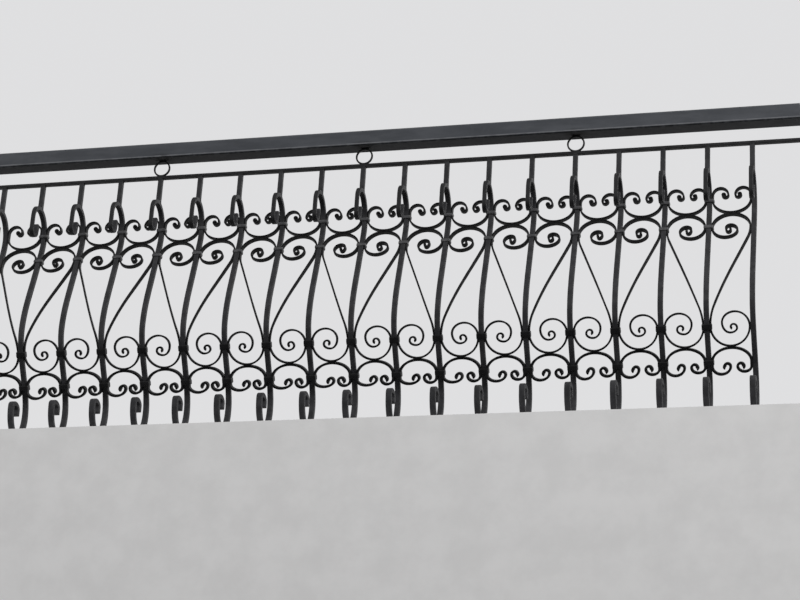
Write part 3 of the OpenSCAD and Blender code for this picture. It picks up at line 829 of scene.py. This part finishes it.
def collar(i, z, height, soft, front, back, seed):
    """A closed collar block: a rounded outline carried up the bar's line, drawn in at
    both ends by a quarter round of radius soft, and swelled between them by a parabola.
    It reaches from front to back either way from the middle of the bar."""
    a = float(lean(z))
    up = np.array([0.0, np.sin(a), np.cos(a)])
    deep = np.array([0.0, np.cos(a), -np.sin(a)])
    depth = front + back
    turn = np.radians(np.linspace(0, 90, 5))
    ends = height / 2 - soft + soft * np.sin(turn)
    drawn = 0.6 * soft * (1 - np.cos(turn))
    level = np.concatenate([-ends[::-1], np.linspace(-1, 1, 7)[1:-1] * (height / 2 - soft), ends])
    inset = np.concatenate([drawn[::-1], np.zeros(5), drawn])
    inset = inset - 0.3 * (1 - (2 * level / height) ** 2)
    outline, edge = rounded(COLLAR_W, depth, 2.6, 0.6, 4)
    size = np.stack([1 - inset / (COLLAR_W / 2), 1 - inset / (depth / 2)], 1)
    size += ripple(level[:, None] * [1, 1] * 4, seed, 0.012, 40)
    n = len(level)
    centre = [bar_x(i), float(line_y(z)), z] + deep * (back - front) / 2
    centre = centre + level[:, None] * up
    u = np.tile([1.0, 0, 0], (n, 1))
    shell = carried(centre, u, np.tile(deep, (n, 1)), outline, edge, size)
    weight = shell[3].reshape(n, -1)
    # The collars' rims count as edges: rubbed wear, and with the band paint also a painted
    # highlight line.
    weight[2:4] = np.maximum(weight[2:4], 0.9)
    weight[-4:-2] = np.maximum(weight[-4:-2], 0.9)
    return shell


def foot_front():
    """Front room of the foot collars: how far the strands stand before the bars there,
    square to the bars' face, and the room before the strands."""
    step = float(line_y(ARCH_Z)) - ARCH[0]
    return step * np.cos(float(lean(ARCH_Z))) + COLLAR_ROOM


# The crown and neck collars take the lighter band paint, a painted highlight.
for label, z, height, soft, front, paint in (
        ("crown", BOW_Z, CROWN_COLLAR_H, 2.8, 9.6, HIGHLIGHT_BAND_PAINT),
        ("neck", UPPER_Z, NECK_COLLAR_H, 3.0, 9.6, HIGHLIGHT_BAND_PAINT),
        ("belly", LOWER_Z, BELLY_COLLAR_H, 2.4, 8.7, COLLAR_PAINT),
        ("foot", ARCH_Z, FOOT_COLLAR_H, 2.4, foot_front(), COLLAR_PAINT)):
    piece("forged_" + label + "_collars",
          [collar(i, z, height, soft, front, min(front, COLLAR_BACK), COLLAR_SEED + i)
           for i in range(2, BARS)],
          paint, "collar_paint", label + "_collars")


def lump(centre, reach, axes, seed):
    """A flattened ball of weld: latitude and longitude on an ellipsoid, its radius
    rippled by a sum of sines."""
    rng = np.random.default_rng(seed)
    lat = np.radians(np.linspace(-86, 86, 9))[:, None]
    lon = np.linspace(0, 2 * np.pi, 14, endpoint=False)[None]
    swell = 1 + 0.06 * np.sin(3 * lon + 6 * rng.random()) * np.cos(lat)
    swell = swell + 0.05 * np.sin(4 * lat + 2 * lon + 6 * rng.random())
    ball = np.stack([np.cos(lat) * np.cos(lon) * swell, np.cos(lat) * np.sin(lon) * swell,
                     np.sin(lat) * np.ones_like(lon)], -1)
    grid = np.asarray(centre) + (ball * reach) @ np.asarray(axes, float)
    flip = np.linalg.det(axes) < 0
    return skin(grid, np.full(grid.shape[:2], 0.3), flip)


def fillet(x, y, level, half, thick, up, seed):
    """A bead of weld round a stem: a small round outline carried round a rounded
    square, rippled as the welder's passes are. level gives its height at a depth."""
    t = np.linspace(0, 2 * np.pi, 40, endpoint=False)[:, None]
    corner = 0.22
    cx = np.sign(np.cos(t)) * np.abs(np.cos(t)) ** corner * half
    cy = np.sign(np.sin(t)) * np.abs(np.sin(t)) ** corner * half
    s = np.linspace(0, 2 * np.pi, 7, endpoint=False)[None]
    r = thick * (1 + 0.16 * np.sin(9 * t + seed) + 0.1 * np.sin(5 * t + 2 * seed))
    out = unit(np.concatenate([cx, cy], 1))
    gx = x + cx + out[:, :1] * r * np.cos(s)
    gy = y + cy + out[:, 1:] * r * np.cos(s)
    gz = level(y + cy) + up * r * 0.25 + r * np.sin(s)
    grid = np.stack([gx, gy, gz], -1)
    return skin(grid, np.full(grid.shape[:2], 0.3), flip=True, loop=True)


def rail_level(y):
    """Height of the top rail's underside, the same at every depth."""
    return np.full_like(y, TOP_RAIL_Z)


def stem_welds():
    """Beads round each stem, under the top rail and on the crown."""
    half = STEM_W / 2 - 0.3
    shells = []
    for i in range(1, BARS + 1):
        shells.append(fillet(bar_x(i), RAIL_Y, rail_level, half, 1.5, -1, i))
        shells.append(fillet(bar_x(i), RAIL_Y, crown_top, half, 1.6, 1, i + 40))
    return shells


UPRIGHT = np.eye(3)


def ring_welds():
    """Short beads on both sides of each ring's foot and top."""
    shells = []
    for number in RING_BARS:
        for z, side in ((RING_Z, 1), (HANDRAIL_Z, -1)):
            for way in (-1, 1):
                shells.append(lump([bar_x(number) + way * 6.5, RAIL_Y, z + side * 0.8],
                                   [5.5, 3.4, 1.5], UPRIGHT, number * 7 + way + side))
    return shells


def scroll_welds():
    """Short welds where the bow of a C-scroll touches the turn of an S-scroll."""
    shells = []
    top = np.array([float(line_y(TOP_Z)) - 2.5, TOP_Z + STRAND_T / 2 + 1.2])
    for bay in range(1, BARS):
        x = bar_x(bay) + PITCH / 2
        for (y, z), deep, tilt, seed in ((top, 6.0, 0.0, 1), (LAP, 3.2, -0.25, 50)):
            axes = [[1, 0, 0], [0, np.cos(tilt), -np.sin(tilt)], [0, np.sin(tilt), np.cos(tilt)]]
            shells.append(lump([x, y, z], [9.0, deep, 2.4], axes, seed + bay))
    return shells


def collar_welds():
    """Drops of weld under the belly and foot collars, between a bar and its strands."""
    shells = []
    for z, height, reach, seed in (
            (LOWER_Z, BELLY_COLLAR_H, (4.0, 5.5, 8.0), BELLY_DROP_SEED),
            (ARCH_Z, FOOT_COLLAR_H, (4.6, 6.5, 9.0), FOOT_DROP_SEED)):
        a = float(lean(z))
        axes = np.array([[1, 0, 0], [0, np.cos(a), -np.sin(a)], [0, np.sin(a), np.cos(a)]])
        for i in range(2, BARS):
            for side in (-1, 1):
                place = [bar_x(i) + side * 8.6, float(line_y(z)), z] - axes[2] * (height / 2 + 1)
                shells.append(lump(place, reach, axes, seed + 2 * i + side))
    return shells


piece("stem_weld_beads", stem_welds(), BAR_PAINT, "bar_paint")
piece("collar_weld_drops", collar_welds(), COLLAR_PAINT, "collar_paint")
piece("ring_weld_beads", ring_welds(), RAIL_PAINT, "rail_paint")
piece("scroll_weld_pads", scroll_welds(), SCROLL_PAINT, "scroll_paint")


# ---- floor, light and camera ----

def floor_paint():
    """Pale matt floor: cloudy patches of two near tones and a fine grain."""
    g = Graph("pale_floor")
    colour = g.mixed(g.ranged(g.noise(9, 5, 0.6), 0.3, 0.7), (0.74, 0.735, 0.73),
                     (0.80, 0.795, 0.79))
    g.link(colour, g.shader.inputs["Base Color"])
    socket(g.shader, "Roughness", 0.85)
    g.link(g.bump(g.noise(240, 3, 0.6), 0.15, 0.001), g.shader.inputs["Normal"])
    return g.material


def floor_block(front, back, half, depth):
    """The floor: a slab whose top is level with the underside of the bottom rail."""
    x, y, z = np.meshgrid([-half, half], [front, back], [-depth, 0.0], indexing="ij")
    corners = np.stack([x, y, z], -1).reshape(-1, 3)
    faces = [(0, 1, 3, 2), (4, 6, 7, 5), (0, 4, 5, 1), (2, 3, 7, 6), (0, 2, 6, 4), (1, 5, 7, 3)]
    mesh = bpy.data.meshes.new("floor")
    mesh.from_pydata(corners.tolist(), [], faces)
    mesh.materials.append(floor_paint())
    thing = bpy.data.objects.new("floor", mesh)
    bpy.context.scene.collection.objects.link(thing)


floor_block(front=-0.114, back=4.0, half=6.0, depth=0.9)


def studio_world():
    """Plain soft surroundings: pale above and behind the railing, dimmer on the side
    that it faces, and darker below the horizon."""
    world = bpy.data.worlds.new("studio")
    bpy.context.scene.world = world
    world.use_nodes = True
    tree = world.node_tree
    place = tree.nodes.new("ShaderNodeTexCoord")
    split = tree.nodes.new("ShaderNodeSeparateXYZ")
    tree.links.new(place.outputs["Generated"], split.inputs["Vector"])
    both = tree.nodes.new("ShaderNodeMath")
    both.operation = "MULTIPLY"
    for k, (way, low, high, dark) in enumerate((("Z", -0.35, 0.2, 0.20), ("Y", -0.4, 0.5, 0.6))):
        ramp = tree.nodes.new("ShaderNodeMapRange")
        ramp.interpolation_type = "SMOOTHSTEP"
        for name, value in (("From Min", low), ("From Max", high), ("To Min", dark),
                            ("To Max", 1.0)):
            socket(ramp, name, value)
        tree.links.new(split.outputs[way], ramp.inputs["Value"])
        tree.links.new(ramp.outputs["Result"], both.inputs[k])
    sky = tree.nodes["Background"]
    socket(sky, "Color", (0.74, 0.74, 0.75, 1.0))
    tree.links.new(both.outputs["Value"], sky.inputs["Strength"])


def lamp(name, place, aim, size, power):
    """A soft white lamp of that size in metres, turned from its place to its aim."""
    data = bpy.data.lights.new(name, "AREA")
    data.shape = "RECTANGLE"
    data.size, data.size_y = size
    data.energy = power
    light = bpy.data.objects.new(name, data)
    forward = unit(np.subtract(aim, place))
    right = unit(np.cross(forward, [0, 0, 1]))
    up = np.cross(right, forward)
    turn = np.eye(4)
    turn[:3, 0], turn[:3, 1], turn[:3, 2], turn[:3, 3] = right, up, -forward, place
    light.matrix_world = Matrix(turn.tolist())
    bpy.context.scene.collection.objects.link(light)


studio_world()
lamp("key", (4.0, -4.5, 4.5), (0, 0, 0.5), (4.0, 3.0), 300)
lamp("fill", (-5.5, -3.0, 2.5), (0, 0, 0.5), (3.0, 3.0), 110)
lamp("back", (0.0, 4.0, 3.5), (0, 0, 0.6), (4.0, 2.0), 35)

# The camera's right, down and forward directions, its place in metres, and its focal
# length and the picture's width in pixels
CAMERA_WAYS = np.array([[0.96995732, 0.23663757, 0.05643986],
                        [-0.04357328, 0.39723841, -0.91668043],
                        [-0.23934111, 0.88668163, 0.39561538]])
CAMERA_PLACE = (1.74588, -5.98372, -2.25861)
FOCAL_PX, PICTURE_PX, SENSOR = 2283.65, 800, 36.0


def set_camera():
    """The camera at the angle the real railing was seen from, below it and to its right."""
    data = bpy.data.cameras.new("camera")
    data.sensor_fit = "HORIZONTAL"
    data.sensor_width = SENSOR
    data.lens = FOCAL_PX / PICTURE_PX * SENSOR
    data.clip_end = 100.0
    camera = bpy.data.objects.new("camera", data)
    turn = np.eye(4)
    turn[:3, 0], turn[:3, 1], turn[:3, 2] = CAMERA_WAYS[0], -CAMERA_WAYS[1], -CAMERA_WAYS[2]
    turn[:3, 3] = CAMERA_PLACE
    camera.matrix_world = Matrix(turn.tolist())
    bpy.context.scene.collection.objects.link(camera)
    bpy.context.scene.camera = camera


set_camera()
bpy.context.scene.view_settings.view_transform = "Standard"
